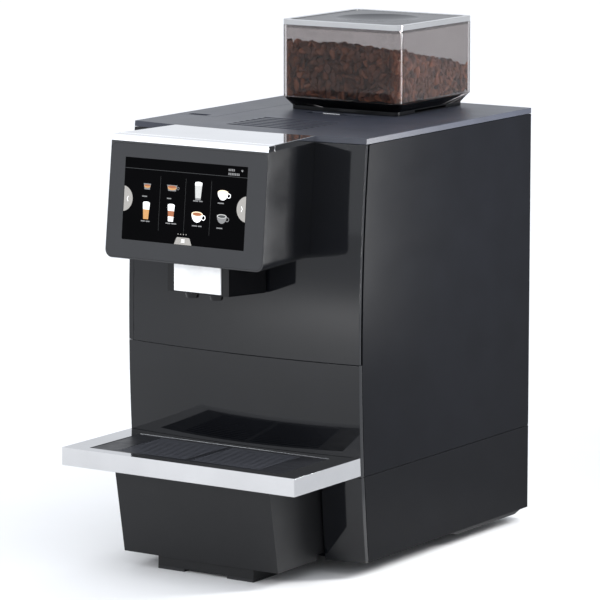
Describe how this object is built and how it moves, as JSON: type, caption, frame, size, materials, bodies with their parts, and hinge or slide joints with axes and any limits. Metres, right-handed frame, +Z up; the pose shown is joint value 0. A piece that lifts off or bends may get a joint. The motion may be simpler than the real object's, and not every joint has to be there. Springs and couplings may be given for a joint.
{
  "type": "hot coffee vending machine",
  "caption": "Countertop bean-to-cup coffee machine with a hinged door and touch-screen head, sliding spout, drip drawer, bean hopper and lift-out water tank.",
  "frame": {"origin": "on the table under the middle of the machine", "axes": "+X to the machine's right as seen from the front, +Y to the back, +Z up; the front faces -Y"},
  "size_m": [0.3, 0.483, 0.5734],
  "materials": {
    "gloss_black": "mirror-gloss black",
    "body_steel": "satin blue-black paint",
    "black_plastic": "fine-grained black moulding",
    "sheet_zinc": "zinc-plated sheet",
    "bright_chrome": "polished",
    "bright_plate": "polished silver plating",
    "screw_steel": "blackened steel",
    "pin_steel": "ground steel",
    "screen_glass": "black back-printed glass",
    "screen_face": "lit display",
    "white_plate": "blank white plate",
    "feet_rubber": "dense black rubber",
    "tub_plastic": "satin black moulding",
    "grid_steel": "black enamel",
    "float_red": "red plastic",
    "smoked_clear": "smoked transparent plastic",
    "lid_dark": "dark tinted plate",
    "beans_brown": "roasted beans",
    "tank_clear": "clear tinted plastic",
    "motor_steel": "drawn steel can",
    "burr_steel": "hardened steel",
    "cast_aluminium": "die-cast",
    "brew_plastic": "grey glass-filled moulding",
    "brass_part": "machined brass",
    "hose_silicone": "silicone hose",
    "board_green": "circuit board"
  },
  "bodies": {
    "chassis": {"base_pan": "black_plastic", "base_front_panel": "gloss_black", "foot_blocks": "black_plastic", "rubber_feet": "feet_rubber", "side_panel_left": "body_steel", "side_panel_right": "body_steel", "lower_front_panel": "gloss_black", "back_panel": "sheet_zinc", "back_screws": "screw_steel", "top_panel": "body_steel", "inner_frame": "sheet_zinc", "frame_fittings": "sheet_zinc", "hinge_pins": "pin_steel", "drawer_rails": "black_plastic", "tank_dock": "black_plastic", "grinder_housing": "cast_aluminium", "upper_burr": "burr_steel", "grinder_motor": "motor_steel", "grinder_stand": "sheet_zinc", "ground_chute": "black_plastic", "brew_frame": "brew_plastic", "brew_cylinder": "brass_part", "boiler": "brass_part", "pump": "motor_steel", "pressure_hose": "hose_silicone", "control_board": "board_green", "power_inlet": "black_plastic", "switch_bezel": "black_plastic", "fan_housing": "black_plastic"},
    "door": {"door_leaf": "gloss_black", "hinge_trim": "gloss_black", "door_inner": "black_plastic", "door_fittings": "cast_aluminium", "head_housing": "gloss_black", "head_top_plate": "bright_plate", "head_trim": "bright_chrome", "display_glass": "screen_glass", "display_screen": "screen_face"},
    "spout": {"spout_block": "black_plastic", "nozzles": "black_plastic", "badge_plate": "white_plate"},
    "drawer": {"tray_frame": "bright_chrome", "drip_tub": "tub_plastic", "grounds_bin": "black_plastic"},
    "grid": {"drip_grid": "grid_steel"},
    "float": {"level_float": "float_red"},
    "hopper": {"hopper_neck": "black_plastic", "hopper_body": "smoked_clear", "coffee_beans": "beans_brown"},
    "hopper_lid": {"lid_frame": "bright_chrome", "lid_glass": "lid_dark"},
    "shutter": {"hopper_shutter": "black_plastic"},
    "lock": {"hopper_lock": "bright_chrome"},
    "tank": {"water_tank": "tank_clear", "tank_hinge": "pin_steel"},
    "tank_cover": {"tank_lid": "body_steel"},
    "burr": {"lower_burr": "burr_steel"},
    "fan": {"fan_rotor": "black_plastic"},
    "piston": {"brew_piston": "pin_steel"},
    "rocker": {"rocker_switch": "float_red"}
  },
  "joints": [
    {"name": "door_hinge", "type": "hinge", "parent": "chassis", "child": "door", "pos_m": [-0.142, -0.1025, 0.3], "axis": [0, 0, -1], "range_deg": [0, 90]},
    {"name": "spout_slide", "type": "slide", "parent": "door", "child": "spout", "axis": [0, 0, -1], "range_m": [0, 0.07]},
    {"name": "drawer_slide", "type": "slide", "parent": "chassis", "child": "drawer", "axis": [0, -1, 0], "range_m": [0, 0.19]},
    {"name": "grid_lift", "type": "slide", "parent": "drawer", "child": "grid", "axis": [0, 0, 1], "range_m": [0, 0.04]},
    {"name": "float_rise", "type": "slide", "parent": "drawer", "child": "float", "axis": [0, 0, 1], "range_m": [0, 0.008]},
    {"name": "hopper_lift", "type": "slide", "parent": "chassis", "child": "hopper", "axis": [0, 0, 1], "range_m": [0, 0.06]},
    {"name": "hopper_lid_lift", "type": "slide", "parent": "hopper", "child": "hopper_lid", "axis": [0, 0, 1], "range_m": [0, 0.06]},
    {"name": "shutter_slide", "type": "slide", "parent": "hopper", "child": "shutter", "axis": [1, 0, 0], "range_m": [0, 0.03]},
    {"name": "lock_slide", "type": "slide", "parent": "chassis", "child": "lock", "axis": [1, 0, 0], "range_m": [0, 0.018]},
    {"name": "tank_lift", "type": "slide", "parent": "chassis", "child": "tank", "axis": [0, 0, 1], "range_m": [0, 0.3]},
    {"name": "tank_lid_hinge", "type": "hinge", "parent": "tank", "child": "tank_cover", "pos_m": [-0.1225, 0.2345, 0.4694], "axis": [-1, 0, 0], "range_deg": [0, 70]},
    {"name": "burr_spin", "type": "hinge", "parent": "chassis", "child": "burr", "pos_m": [0, 0.1525, 0.3967], "axis": [0, 0, 1], "continuous": true},
    {"name": "fan_spin", "type": "hinge", "parent": "chassis", "child": "fan", "pos_m": [-0.052, 0.2245, 0.1869], "axis": [0, 1, 0], "continuous": true},
    {"name": "piston_slide", "type": "slide", "parent": "chassis", "child": "piston", "axis": [0, 0, -1], "range_m": [0, 0.022]},
    {"name": "rocker_tilt", "type": "hinge", "parent": "chassis", "child": "rocker", "pos_m": [0.04, 0.2345, 0.1509], "axis": [-1, 0, 0], "range_deg": [0, 20]}
  ]
}
